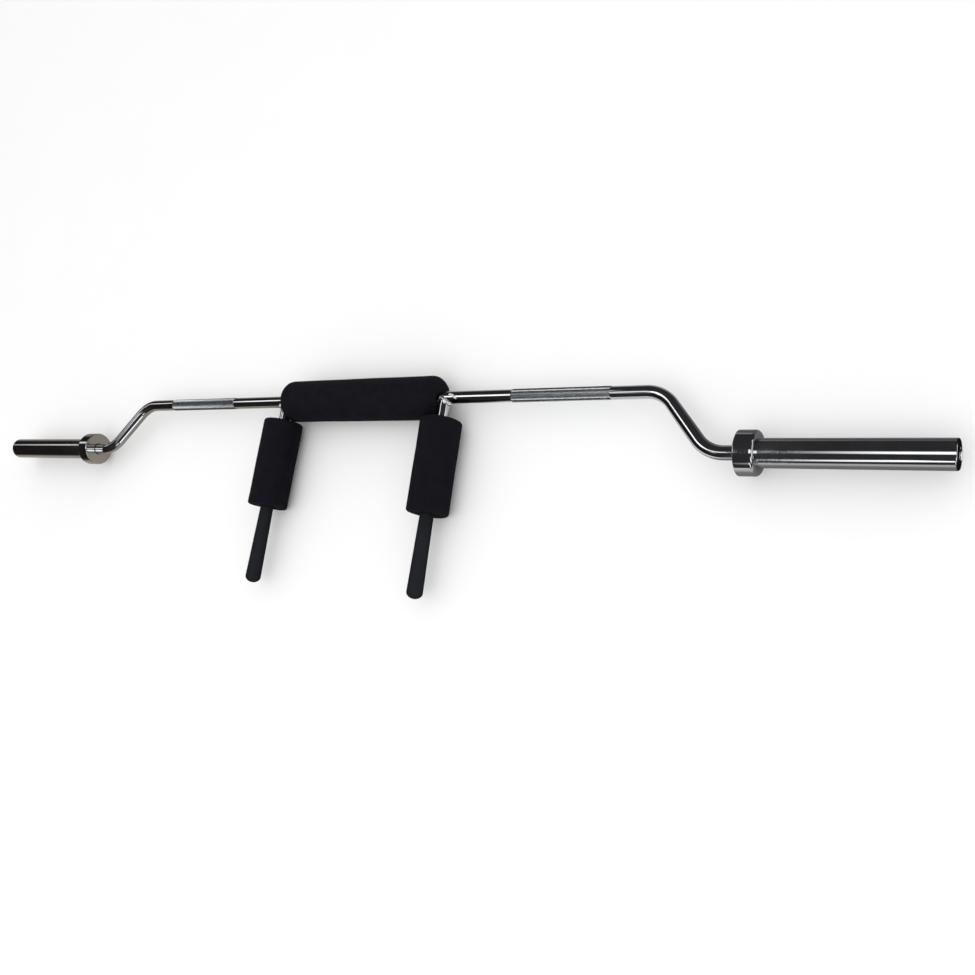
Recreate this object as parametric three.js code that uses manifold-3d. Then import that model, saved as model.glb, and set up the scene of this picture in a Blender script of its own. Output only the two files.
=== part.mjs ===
// A safety squat bar: a bent bar with a foam neck roller, two padded arms and two rotating sleeves.
// Millimetres. +X along the bar, -Y along the arms, +Z up. The bar lies on the floor on its
// neck roller, with its arms level, and the origin is the middle of its footprint.

import * as THREE from 'three';
import { mergeVertices } from 'three/addons/utils/BufferGeometryUtils.js';
import Module from 'manifold-3d';

const wasm = await Module();
wasm.setup();

// The bar as a whole.
const BAR_LENGTH = 2360;
const SHAFT_RADIUS = 12.7;
const CAMBER = 114;
const CAMBER_LIFT = THREE.MathUtils.degToRad(3);
const BEND_ANGLE = THREE.MathUtils.degToRad(50);
const BEND_RADIUS = 65;
const BEND_TO_COLLAR = 26;
const KNURL_LENGTH = 212;
const KNURL_TO_BEND = 69;
const KNURL_HEIGHT = 0.3;

// Sleeves and the collars that the plates rest against.
const SLEEVE_RADIUS = 25;
const SLEEVE_REACH = 303;
const SLEEVE_WALL = 7;
const SLEEVE_EDGE = 3;
const SEAT_STEP = 2.5;
const COLLAR_RADIUS = 39;
const COLLAR_WIDTH = 35;
const COLLAR_FLANGE = 6;
const COLLAR_FACE_EDGE = 2;
const COLLAR_PLATE_EDGE = 6.5;

// What the sleeves turn on.
const JOURNAL_STEP = 0.7;
const SHOULDER_DEPTH = 2;
const BUSHING_LENGTH = 28;
const WASHER_THICKNESS = 2.5;
const WASHER_RIM = 1;
const RING_THICKNESS = 2;
const RING_BITE = 0.9;
const RING_WIDTH = 3.4;
const RING_MOUTH = 9;
const JOURNAL_TAIL = 6;
const CAP_DEPTH = 12;
const CAP_WALL = 2.4;
const CAP_RECESS = 1.5;
const CAP_DISH = 1.2;
const CAP_SPACE = 8;

// Arms, pads and grips.
const ARM_SPACING = 433;
const ARM_RADIUS = 12.5;
const ARM_WALL = 2.5;
const ARM_SPLAY = THREE.MathUtils.degToRad(0.5);
const WELD_RADIUS = 4.2;
const WELD_LUMPS = 14;
const NECK_PAD_RADIUS = 45.4;
const NECK_PAD_DOME = 20;
const NECK_PAD_SQUEEZE = 4;
const NECK_PAD_REST = 0.5;
const ARM_PAD_RADIUS = 43.2;
const ARM_PAD_LENGTH = 193.5;
const ARM_PAD_EDGE = 5;
const ARM_PAD_TO_NECK_PAD = 2.7;
const GRIP_LENGTH = 169.5;
const GRIP_THROAT_RADIUS = 14.1;
const GRIP_TIP_RADIUS = 16.5;
const GRIP_TIP_ROUND = 13;
const GRIP_TIP_WALL = 8;

// Clearances, small edges and the overrun of every cut.
const SEAT_GAP = 0.3;
const RUNNING_GAP = 0.3;
const FACE_BORE_GAP = 0.8;
const EDGE = 1;
const OVERRUN = 5;

// How many sides round pieces have, and steps a quarter or a bend has.
const WIDE_SIDES = 36;
const SMALL_SIDES = 28;
const BEND_STEPS = 8;
const DOME_STEPS = 6;
const EDGE_STEPS = 3;

// Places along the bar, from its middle outwards.
const barEnd = BAR_LENGTH / 2;
const plateFace = barEnd - SLEEVE_REACH;
const collarFace = plateFace - COLLAR_WIDTH;
const bendRise = CAMBER - 2 * BEND_RADIUS * (1 - Math.cos(BEND_ANGLE));
const bendRun = 2 * BEND_RADIUS * Math.sin(BEND_ANGLE) + bendRise / Math.tan(BEND_ANGLE);
const bendEnd = collarFace - BEND_TO_COLLAR;
const bendStart = bendEnd - bendRun;
const knurlEnd = bendStart - KNURL_TO_BEND;
const armX = ARM_SPACING / 2;
const neckPadHalf = armX - ARM_RADIUS + NECK_PAD_SQUEEZE;

// Places inside a sleeve. The inner bushing lies behind the collar, the outer one near the end.
const sleeveStart = collarFace + COLLAR_FLANGE + SEAT_GAP;
const shoulder = collarFace + COLLAR_FLANGE + SHOULDER_DEPTH;
const innerBushing = shoulder + WASHER_THICKNESS + 2 * SEAT_GAP;
const capBack = barEnd - CAP_RECESS - CAP_DEPTH;
const journalEnd = capBack - CAP_SPACE;
const ringPlace = journalEnd - JOURNAL_TAIL - RING_THICKNESS;
const endWasher = ringPlace - SEAT_GAP - WASHER_THICKNESS;
const outerBushing = endWasher - SEAT_GAP - BUSHING_LENGTH;
const sleeveBore = SLEEVE_RADIUS - SLEEVE_WALL;
const journalRadius = SHAFT_RADIUS - JOURNAL_STEP;

// Places along an arm, from the shaft's axis outwards.
const armPadStart = NECK_PAD_RADIUS + ARM_PAD_TO_NECK_PAD;
const gripStart = armPadStart + ARM_PAD_LENGTH + SEAT_GAP;
const armReach = gripStart + GRIP_LENGTH;
const armTubeEnd = armReach - GRIP_TIP_WALL - SEAT_GAP;

const chrome = { color: 0xc9ccd0, roughness: 0.08, metalness: 1 };
const weldedChrome = { color: 0xb4b7ba, roughness: 0.22, metalness: 1 };
const foam = { color: 0x17181a, roughness: 0.92, metalness: 0 };
const rubber = { color: 0x23262a, roughness: 0.7, metalness: 0 };
const bronze = { color: 0xa87b3e, roughness: 0.35, metalness: 1 };
const springSteel = { color: 0x4a4b4e, roughness: 0.4, metalness: 1 };

// Points (radius, height) of a round edge about a centre, from one angle to another.
function arc(centreRadius, centreHeight, radius, from, to, steps, height = radius) {
  const points = [];
  for (let i = 0; i <= steps; i += 1) {
    const angle = from + (to - from) * i / steps;
    points.push([centreRadius + radius * Math.cos(angle), centreHeight + height * Math.sin(angle)]);
  }
  return points;
}

// A profile of (radius, height) pairs turned round the Y axis. It runs out, up, in and down.
function turned(profile, sides) {
  const points = profile.map(([radius, height]) => new THREE.Vector2(radius, height));
  return new THREE.LatheGeometry(points, sides);
}

// The same, closed on itself, for a piece with a hole through it.
function turnedRing(profile, sides) {
  return turned([...profile, profile[0]], sides);
}

// Lays a turned piece along the bar, with its height along +X.
function alongBar(geometry) {
  return geometry.rotateZ(-Math.PI / 2);
}

// A geometry as a solid that can be joined and cut.
function toSolid(geometry) {
  const bare = geometry.clone();
  bare.deleteAttribute('normal');
  bare.deleteAttribute('uv');
  const merged = mergeVertices(bare);
  const index = Array.from(merged.index.array);
  const triangles = [];
  for (let i = 0; i < index.length; i += 3) {
    const [a, b, c] = index.slice(i, i + 3);
    if (a !== b && b !== c && c !== a) {
      triangles.push(a, b, c);
    }
  }
  return new wasm.Manifold(new wasm.Mesh({
    numProp: 3,
    vertProperties: new Float32Array(merged.attributes.position.array),
    triVerts: new Uint32Array(triangles),
  }));
}

// A solid back as a geometry.
function toGeometry(solid) {
  const mesh = solid.getMesh();
  const geometry = new THREE.BufferGeometry();
  geometry.setAttribute('position', new THREE.BufferAttribute(mesh.vertProperties, 3));
  geometry.setIndex(new THREE.BufferAttribute(mesh.triVerts, 1));
  return geometry;
}

// A named mesh with its own material.
function piece(name, geometry, look) {
  const mesh = new THREE.Mesh(geometry, new THREE.MeshStandardMaterial(look));
  mesh.name = name;
  return mesh;
}

// The bar's centre line as stations, each a point and a direction, so that a sweep
// has its rings exactly at the ends of the bends and at even steps round them.
class StationLine extends THREE.Curve {
  constructor(stations) {
    super();
    this.stations = stations;
  }

  at(share) {
    return this.stations[Math.round(share * (this.stations.length - 1))];
  }

  getPointAt(share, target = new THREE.Vector3()) {
    return target.copy(this.at(share).point);
  }

  getTangentAt(share, target = new THREE.Vector3()) {
    return target.copy(this.at(share).direction);
  }
}

function station(x, y, angle) {
  return {
    point: new THREE.Vector3(x, y, 0),
    direction: new THREE.Vector3(Math.cos(angle), -Math.sin(angle), 0),
  };
}

// One half of the centre line, from the first bend outwards: down round the first bend,
// along the slant, and back level round the second.
function halfLine() {
  const stations = [];
  for (let i = 0; i <= BEND_STEPS; i += 1) {
    const angle = BEND_ANGLE * i / BEND_STEPS;
    const x = bendStart + BEND_RADIUS * Math.sin(angle);
    stations.push(station(x, -BEND_RADIUS * (1 - Math.cos(angle)), angle));
  }
  for (let i = BEND_STEPS; i >= 0; i -= 1) {
    const angle = BEND_ANGLE * i / BEND_STEPS;
    const x = bendEnd - BEND_RADIUS * Math.sin(angle);
    stations.push(station(x, -CAMBER + BEND_RADIUS * (1 - Math.cos(angle)), angle));
  }
  stations.push(station(journalEnd, -CAMBER, 0));
  return stations;
}

function mirrored({ point, direction }) {
  return {
    point: new THREE.Vector3(-point.x, point.y, 0),
    direction: new THREE.Vector3(direction.x, -direction.y, 0),
  };
}

function circle(radius, sides) {
  const points = [];
  for (let i = 0; i < sides; i += 1) {
    const angle = 2 * Math.PI * i / sides;
    points.push(new THREE.Vector2(radius * Math.cos(angle), radius * Math.sin(angle)));
  }
  return new THREE.Shape(points);
}

// A ring of material between two radii and two places along the bar.
function band(innerRadius, outerRadius, from, to) {
  const profile = [[innerRadius, from], [outerRadius, from], [outerRadius, to], [innerRadius, to]];
  return toSolid(alongBar(turnedRing(profile, SMALL_SIDES)));
}

// The knurled band, a little proud of the plain bar, with bevelled ends.
function knurlBand() {
  const start = knurlEnd - KNURL_LENGTH;
  const outer = SHAFT_RADIUS + KNURL_HEIGHT;
  const profile = [
    [0, start],
    [SHAFT_RADIUS, start],
    [outer, start + EDGE],
    [outer, knurlEnd - EDGE],
    [SHAFT_RADIUS, knurlEnd],
    [0, knurlEnd],
  ];
  return toSolid(alongBar(turned(profile, SMALL_SIDES)));
}

// What is turned away at a sleeve end of the bar: the journal, the snap ring's groove
// and the bevel on the end.
function journalCut() {
  const outer = SHAFT_RADIUS + OVERRUN;
  const groove = journalRadius - RING_BITE - SEAT_GAP;
  const bevel = [
    [journalRadius - EDGE, journalEnd + OVERRUN],
    [journalRadius - EDGE, journalEnd],
    [journalRadius + EDGE, journalEnd - 2 * EDGE],
    [outer, journalEnd - 2 * EDGE],
    [outer, journalEnd + OVERRUN],
  ];
  return band(journalRadius, outer, shoulder, journalEnd + OVERRUN)
    .add(band(groove, outer, ringPlace - SEAT_GAP, ringPlace + RING_THICKNESS + SEAT_GAP))
    .add(toSolid(alongBar(turnedRing(bevel, SMALL_SIDES))));
}

function shaft() {
  const half = halfLine();
  const stations = [...half.map(mirrored).reverse(), ...half];
  const line = new StationLine(stations);
  const bar = new THREE.ExtrudeGeometry(circle(SHAFT_RADIUS, SMALL_SIDES), {
    steps: stations.length - 1,
    extrudePath: line,
  });
  const cut = journalCut().translate([0, -CAMBER, 0]);
  const solid = toSolid(bar)
    .add(knurlBand())
    .add(knurlBand().mirror([1, 0, 0]))
    .subtract(cut)
    .subtract(cut.mirror([1, 0, 0]));
  return toGeometry(solid);
}

// The neck roller: a foam tube with domed ends. It is cut a little long, so that each arm
// presses a groove into its end, and the weld beads press its bore open at both mouths.
// It is a little flat where it bears on the floor.
function neckPad() {
  const bore = SHAFT_RADIUS + SEAT_GAP;
  const mouth = SHAFT_RADIUS + WELD_RADIUS + EDGE;
  const mouthDepth = neckPadHalf - (armX - ARM_RADIUS - WELD_RADIUS - EDGE);
  const flare = mouth - bore;
  const crown = NECK_PAD_RADIUS - NECK_PAD_DOME;
  const shoulderPlace = neckPadHalf - NECK_PAD_DOME;
  const profile = [
    [bore, -neckPadHalf + mouthDepth + flare],
    [mouth, -neckPadHalf + mouthDepth],
    [mouth, -neckPadHalf],
    ...arc(crown, -shoulderPlace, NECK_PAD_DOME, -Math.PI / 2, 0, DOME_STEPS),
    ...arc(crown, shoulderPlace, NECK_PAD_DOME, 0, Math.PI / 2, DOME_STEPS),
    [mouth, neckPadHalf],
    [mouth, neckPadHalf - mouthDepth],
    [bore, neckPadHalf - mouthDepth - flare],
  ];
  const floor = new THREE.BoxGeometry(2 * neckPadHalf, NECK_PAD_RADIUS, NECK_PAD_RADIUS);
  floor.translate(0, 0, NECK_PAD_REST - NECK_PAD_RADIUS - NECK_PAD_RADIUS / 2);
  const groove = armGroove();
  const roller = toSolid(alongBar(turnedRing(profile, WIDE_SIDES)))
    .subtract(toSolid(floor))
    .subtract(groove)
    .subtract(groove.mirror([1, 0, 0]));
  return toGeometry(roller);
}

// The groove that the right arm presses into the end of the neck roller.
function armGroove() {
  const radius = ARM_RADIUS + SEAT_GAP;
  const reach = NECK_PAD_RADIUS + OVERRUN;
  const profile = [[0, -reach], [radius, -reach], [radius, 0], [0, 0]];
  return toSolid(turned(profile, SMALL_SIDES).rotateZ(ARM_SPLAY).translate(armX, 0, 0));
}

// The arm's tube. Its foot is coped to sit on the round bar.
function armTube(splay) {
  const inner = ARM_RADIUS - ARM_WALL;
  const profile = [[inner, 0], [ARM_RADIUS, 0], [ARM_RADIUS, armTubeEnd], [inner, armTubeEnd]];
  return toGeometry(toSolid(turnedRing(profile, SMALL_SIDES)).subtract(barCutter(splay)));
}

// The bar's own round, wide enough to cope a tube or a bead that sits on it. An arm is drawn
// straight, so the bar lies turned back by the arm's splay.
function barCutter(splay) {
  const reach = ARM_RADIUS + WELD_RADIUS + OVERRUN;
  const radius = SHAFT_RADIUS + SEAT_GAP;
  const profile = [[0, -reach], [radius, -reach], [radius, reach], [0, reach]];
  return toSolid(alongBar(turned(profile, SMALL_SIDES)).rotateZ(-splay));
}

// The weld bead: a string of overlapping lumps along the saddle curve where the tube meets
// the bar, at (r cos a, sqrt(R^2 - r^2 sin^2 a), r sin a).
function armWeld(splay) {
  let bead = null;
  for (let i = 0; i < WELD_LUMPS; i += 1) {
    const angle = 2 * Math.PI * i / WELD_LUMPS;
    const side = ARM_RADIUS * Math.sin(angle);
    const height = Math.sqrt(Math.max(0, SHAFT_RADIUS ** 2 - side ** 2));
    const lump = new THREE.IcosahedronGeometry(WELD_RADIUS, 1);
    lump.rotateY(angle);
    lump.translate(ARM_RADIUS * Math.cos(angle), height, side);
    bead = bead ? bead.add(toSolid(lump)) : toSolid(lump);
  }
  const outside = ARM_RADIUS + SEAT_GAP;
  const top = SHAFT_RADIUS + WELD_RADIUS + OVERRUN;
  const profile = [[0, 0], [outside, 0], [outside, top], [0, top]];
  const tube = toSolid(turned(profile, SMALL_SIDES));
  return toGeometry(bead.subtract(barCutter(splay)).subtract(tube));
}

// The foam roller on an arm, cut off square with lightly rounded edges.
function armPad() {
  const bore = ARM_RADIUS + SEAT_GAP;
  const rim = ARM_PAD_RADIUS - ARM_PAD_EDGE;
  const end = armPadStart + ARM_PAD_LENGTH;
  const profile = [
    [bore, armPadStart],
    ...arc(rim, armPadStart + ARM_PAD_EDGE, ARM_PAD_EDGE, -Math.PI / 2, 0, EDGE_STEPS),
    ...arc(rim, end - ARM_PAD_EDGE, ARM_PAD_EDGE, 0, Math.PI / 2, EDGE_STEPS),
    [bore, end],
  ];
  return turnedRing(profile, WIDE_SIDES);
}

// The rubber grip: thicker towards its closed, rounded tip.
function grip() {
  const bore = ARM_RADIUS + SEAT_GAP;
  const inside = armReach - GRIP_TIP_WALL;
  const roundStart = armReach - GRIP_TIP_ROUND;
  const profile = [
    [0, inside],
    [bore, inside],
    [bore, gripStart],
    [GRIP_THROAT_RADIUS - EDGE, gripStart],
    [GRIP_THROAT_RADIUS, gripStart + EDGE],
    ...arc(0, roundStart, GRIP_TIP_RADIUS, 0, Math.PI / 2, DOME_STEPS, GRIP_TIP_ROUND),
  ];
  profile[profile.length - 1][0] = 0;
  return turned(profile, SMALL_SIDES);
}

// The sleeve: a tube with a wider seat for the bushings at each end and a rounded outer edge.
function sleeve() {
  const waist = sleeveBore - SEAT_STEP;
  const innerStep = innerBushing + BUSHING_LENGTH + SEAT_GAP;
  const outerStep = outerBushing - SEAT_GAP;
  const rim = SLEEVE_RADIUS - SLEEVE_EDGE;
  const profile = [
    [sleeveBore, sleeveStart],
    [SLEEVE_RADIUS - EDGE, sleeveStart],
    [SLEEVE_RADIUS, sleeveStart + EDGE],
    ...arc(rim, barEnd - SLEEVE_EDGE, SLEEVE_EDGE, 0, Math.PI / 2, EDGE_STEPS),
    [sleeveBore + EDGE, barEnd],
    [sleeveBore, barEnd - EDGE],
    [sleeveBore, outerStep],
    [waist, outerStep],
    [waist, innerStep],
    [sleeveBore, innerStep],
  ];
  return alongBar(turnedRing(profile, WIDE_SIDES));
}

// The shoulder collar: it grips the sleeve, and its thin flange closes round the bar.
function collar() {
  const bore = SLEEVE_RADIUS + SEAT_GAP;
  const throat = SHAFT_RADIUS + FACE_BORE_GAP;
  const faceRim = COLLAR_RADIUS - COLLAR_FACE_EDGE;
  const plateRim = COLLAR_RADIUS - COLLAR_PLATE_EDGE;
  const profile = [
    [throat, collarFace + EDGE],
    [throat + EDGE, collarFace],
    ...arc(faceRim, collarFace + COLLAR_FACE_EDGE, COLLAR_FACE_EDGE, -Math.PI / 2, 0, EDGE_STEPS),
    ...arc(plateRim, plateFace - COLLAR_PLATE_EDGE, COLLAR_PLATE_EDGE, 0, Math.PI / 2, DOME_STEPS),
    [bore, plateFace],
    [bore, collarFace + COLLAR_FLANGE],
    [throat, collarFace + COLLAR_FLANGE],
  ];
  return alongBar(turnedRing(profile, WIDE_SIDES));
}

// A plain ring on the journal: a bushing or a washer.
function journalRing(outer, from, length) {
  const inner = journalRadius + RUNNING_GAP;
  const to = from + length;
  const profile = [[inner, from], [outer, from], [outer, to], [inner, to]];
  return alongBar(turnedRing(profile, SMALL_SIDES));
}

// The snap ring: an open ring that bites into the journal's groove.
function snapRing() {
  const inner = journalRadius - RING_BITE;
  const outer = inner + RING_WIDTH;
  const innerMouth = Math.asin(RING_MOUTH / 2 / inner);
  const outerMouth = Math.asin(RING_MOUTH / 2 / outer);
  const outline = new THREE.Shape();
  outline.absarc(0, 0, outer, outerMouth, 2 * Math.PI - outerMouth, false);
  outline.absarc(0, 0, inner, 2 * Math.PI - innerMouth, innerMouth, true);
  const geometry = new THREE.ExtrudeGeometry(outline, {
    depth: RING_THICKNESS,
    bevelEnabled: false,
    curveSegments: SMALL_SIDES / 2,
  });
  return geometry.rotateY(Math.PI / 2).translate(ringPlace, 0, 0);
}

// The end cap: a shallow pressed cup, dished on its face, its skirt inside the sleeve's bore.
function endCap() {
  const outer = sleeveBore - SEAT_GAP;
  const inner = outer - CAP_WALL;
  const face = barEnd - CAP_RECESS;
  const profile = [
    [0, face - CAP_WALL - CAP_DISH],
    [inner - EDGE, face - CAP_WALL - CAP_DISH],
    [inner, face - CAP_WALL - CAP_DISH - EDGE],
    [inner, capBack],
    [outer, capBack],
    [outer, face - EDGE],
    [outer - EDGE, face],
    [inner - EDGE, face],
    [inner - EDGE - CAP_DISH, face - CAP_DISH],
    [0, face - CAP_DISH],
  ];
  return alongBar(turned(profile, SMALL_SIDES));
}

// One end of the bar: the sleeve, its collar, and the bushings, washers, ring and cap inside.
// Every piece but the ring is round, so the left end is the right one turned half a turn.
function sleeveEnd(side) {
  const bushingRadius = sleeveBore - SEAT_GAP;
  const washerRadius = sleeveBore - WASHER_RIM;
  const group = new THREE.Group();
  group.add(
    piece(`${side}_sleeve`, sleeve(), chrome),
    piece(`${side}_collar`, collar(), chrome),
    piece(`${side}_inner_bushing`, journalRing(bushingRadius, innerBushing, BUSHING_LENGTH), bronze),
    piece(`${side}_outer_bushing`, journalRing(bushingRadius, outerBushing, BUSHING_LENGTH), bronze),
    piece(`${side}_thrust_washer`, journalRing(washerRadius, shoulder + SEAT_GAP, WASHER_THICKNESS), springSteel),
    piece(`${side}_end_washer`, journalRing(washerRadius, endWasher, WASHER_THICKNESS), springSteel),
    piece(`${side}_snap_ring`, snapRing(), springSteel),
    piece(`${side}_end_cap`, endCap(), chrome),
  );
  group.position.y = -CAMBER;
  group.rotation.z = side === 'left' ? Math.PI : 0;
  return group;
}

// One arm. It is drawn from the bar's axis along +Y and turned to point along -Y, a little outwards.
function arm(side) {
  const splay = side === 'left' ? -ARM_SPLAY : ARM_SPLAY;
  const group = new THREE.Group();
  group.add(
    piece(`${side}_arm_tube`, armTube(splay), chrome),
    piece(`${side}_arm_weld`, armWeld(splay), weldedChrome),
    piece(`${side}_arm_pad`, armPad(), foam),
    piece(`${side}_grip`, grip(), rubber),
  );
  group.position.x = side === 'left' ? -armX : armX;
  group.rotation.z = Math.PI + splay;
  return group;
}

// The bent bar with its sleeves. Its camber lies a few degrees above the plane of the arms.
const bentBar = new THREE.Group();
bentBar.add(piece('shaft', shaft(), chrome));
bentBar.add(sleeveEnd('left'), sleeveEnd('right'));
bentBar.rotation.x = -CAMBER_LIFT;

// Everything about the shaft's axis, set down on the floor.
const squatBar = new THREE.Group();
squatBar.add(bentBar);
squatBar.add(piece('neck_pad', neckPad(), foam));
squatBar.add(arm('left'), arm('right'));
squatBar.position.y = (armReach * Math.cos(ARM_SPLAY) - NECK_PAD_RADIUS) / 2;
squatBar.position.z = NECK_PAD_RADIUS - NECK_PAD_REST;

const root = new THREE.Group();
root.add(squatBar);

export default root;
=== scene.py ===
# A safety squat bar, laid on a pale floor. Metres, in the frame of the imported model: +X along
# the bar, -Y along the arms, +Z up. The file follows the bar as it is put together: the bent
# shaft, its knurled bands, the welded arms, the foam, the grips, and the sleeves with what is in them.

import math

import bpy
import numpy as np
from mathutils import Matrix


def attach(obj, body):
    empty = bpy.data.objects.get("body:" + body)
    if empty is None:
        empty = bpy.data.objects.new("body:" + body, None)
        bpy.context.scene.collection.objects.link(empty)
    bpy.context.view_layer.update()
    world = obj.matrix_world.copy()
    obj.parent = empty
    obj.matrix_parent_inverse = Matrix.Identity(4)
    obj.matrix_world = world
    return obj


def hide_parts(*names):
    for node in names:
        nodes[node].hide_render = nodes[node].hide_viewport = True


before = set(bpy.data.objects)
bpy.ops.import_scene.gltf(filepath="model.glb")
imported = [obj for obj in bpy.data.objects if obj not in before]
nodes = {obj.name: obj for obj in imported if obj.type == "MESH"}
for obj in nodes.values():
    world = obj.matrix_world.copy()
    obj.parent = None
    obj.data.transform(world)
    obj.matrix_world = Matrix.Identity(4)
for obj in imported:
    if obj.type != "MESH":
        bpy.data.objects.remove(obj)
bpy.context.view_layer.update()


# The shaft: one solid round steel bar, bent cold in an S on each side, polished and chromed.
# Its ends are turned down to journals for the sleeves, each with a groove for a snap ring.

shaft_y, shaft_z = 0.182992, 0.0449
shaft_radius = 0.0127
camber, camber_lift = 0.114, math.radians(3)
bend_angle, bend_radius = math.radians(50), 0.065
bend_start, bend_end = 0.65966, 0.816
shoulder_x, ring_groove_x, journal_end_x = 0.850, 1.1502, 1.1585
journal_radius, groove_radius, groove_width = 0.0120, 0.0108, 0.0026
bevel = 0.001
bend_steps, shaft_sides = 40, 96

chrome_colour = (0.60, 0.61, 0.625, 1)
smudged_share = 0.55


def turn_outwards(mesh):
    """Flips the faces if they point inwards, which is where the sum over the faces of
    area x normal . centre, three times the volume inside, comes out below zero."""
    count = len(mesh.polygons)
    normal, centre, area = np.empty(3 * count), np.empty(3 * count), np.empty(count)
    mesh.polygons.foreach_get("normal", normal)
    mesh.polygons.foreach_get("center", centre)
    mesh.polygons.foreach_get("area", area)
    if ((normal * centre).reshape(-1, 3).sum(1) * area).sum() < 0:
        mesh.flip_normals()


def skin(name, rings, looped=False, diamonds=False):
    """A closed mesh from rings of points, an array (rings, sides, 3). Point (i, j) joins (i, j + 1)
    round its own ring and (i + 1, j) on the next one. With looped, the last ring joins the first.
    Otherwise a fan of triangles closes each end to the middle of its ring. With diamonds, each
    four-sided face is cut along the diagonal that joins its two points with i + j even."""
    count, sides = rings.shape[:2]
    here = np.arange(count * sides).reshape(count, sides)
    low = here if looped else here[:-1]
    high = np.roll(here, -1, 0) if looped else here[1:]
    a, b, c, d = low, np.roll(low, -1, 1), np.roll(high, -1, 1), high
    if diamonds:
        i, j = np.indices(low.shape)
        even = ((i + j) % 2 == 0)[..., None]
        one = np.where(even, np.stack([a, b, c], -1), np.stack([a, b, d], -1))
        two = np.where(even, np.stack([a, c, d], -1), np.stack([b, c, d], -1))
        faces = np.concatenate([one.reshape(-1, 3), two.reshape(-1, 3)]).tolist()
    else:
        faces = np.stack([a, b, c, d], -1).reshape(-1, 4).tolist()
    points = rings.reshape(-1, 3)
    if not looped:
        total = count * sides
        points = np.vstack([points, rings[0].mean(0), rings[-1].mean(0)])
        first, last = here[0], here[-1]
        faces += np.stack([np.roll(first, -1), first, np.full(sides, total)], -1).tolist()
        faces += np.stack([last, np.roll(last, -1), np.full(sides, total + 1)], -1).tolist()
    mesh = bpy.data.meshes.new(name)
    mesh.from_pydata(points.tolist(), [], faces)
    turn_outwards(mesh)
    mesh.shade_smooth()
    mesh.set_sharp_from_angle(angle=math.radians(35))
    piece = bpy.data.objects.new(name, mesh)
    bpy.context.scene.collection.objects.link(piece)
    return piece


def add(tree, kind, inputs=None, **settings):
    """A node of this kind in a tree. Inputs are numbers, colours or other nodes' sockets."""
    made = tree.nodes.new(kind)
    for key, value in settings.items():
        setattr(made, key, value)
    for key, value in (inputs or {}).items():
        socket = made.inputs[key]
        if isinstance(value, bpy.types.NodeSocket):
            tree.links.new(value, socket)
        else:
            socket.default_value = value
    return made


def mixed(tree, share, first, second):
    """The first colour where the share is 0, and the second where it is 1."""
    colours = {0: share, 6: first, 7: second}
    return add(tree, "ShaderNodeMix", colours, data_type="RGBA").outputs[2]


def effect(name, inputs, outputs):
    """An empty node group with named inputs (name: kind, value) and outputs (name: kind)."""
    group = bpy.data.node_groups.new(name, "ShaderNodeTree")
    for key, (kind, value) in inputs.items():
        socket = group.interface.new_socket(key, in_out="INPUT", socket_type=kind)
        if value is not None:
            socket.default_value = value
    for key, kind in outputs.items():
        group.interface.new_socket(key, in_out="OUTPUT", socket_type=kind)
    return group, group.nodes.new("NodeGroupInput").outputs, group.nodes.new("NodeGroupOutput").inputs


def finish_of(name):
    """A new material: its tree, its surface shader and the place on the object."""
    material = bpy.data.materials.new(name)
    material.use_nodes = True
    tree = material.node_tree
    place = tree.nodes.new("ShaderNodeTexCoord").outputs["Object"]
    return material, tree, tree.nodes["Principled BSDF"], place


def polish_marks():
    """Wear of a polished metal face. Smudges: soft blotches a few centimetres wide, from handling.
    Marks: fine lines left by the polishing belt. Stretch sets which way the lines run."""
    group, given, out = effect(
        "polish_marks",
        {
            "Place": ("NodeSocketVector", None),
            "Stretch": ("NodeSocketVector", (40, 900, 900)),
            "Cleanest": ("NodeSocketFloat", 0.04),
            "Dullest": ("NodeSocketFloat", 0.12),
        },
        {"Roughness": "NodeSocketFloat", "Height": "NodeSocketFloat", "Tone": "NodeSocketFloat"},
    )
    blotch = add(
        group,
        "ShaderNodeTexNoise",
        {"Vector": given["Place"], "Scale": 26, "Detail": 4, "Roughness": 0.6},
    )
    along_line = {0: given["Place"], 1: given["Stretch"]}
    lines = add(group, "ShaderNodeVectorMath", along_line, operation="MULTIPLY")
    line = add(group, "ShaderNodeTexNoise", {"Vector": lines.outputs[0], "Scale": 1, "Detail": 2})
    layers = {0: blotch.outputs[0], 1: line.outputs[0]}
    both = add(group, "ShaderNodeMath", layers, operation="MULTIPLY")
    span = {"Value": both.outputs[0], "From Min": 0.14, "From Max": 0.4}
    share = add(group, "ShaderNodeMapRange", span)
    rough = add(
        group,
        "ShaderNodeMapRange",
        {"Value": share.outputs[0], "To Min": given["Cleanest"], "To Max": given["Dullest"]},
    )
    tone = add(group, "ShaderNodeMapRange", {"Value": blotch.outputs[0], "To Min": 0.92, "To Max": 1.0})
    group.links.new(rough.outputs[0], out["Roughness"])
    group.links.new(line.outputs[0], out["Height"])
    group.links.new(tone.outputs[0], out["Tone"])
    return group


polish_group = polish_marks()


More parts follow.
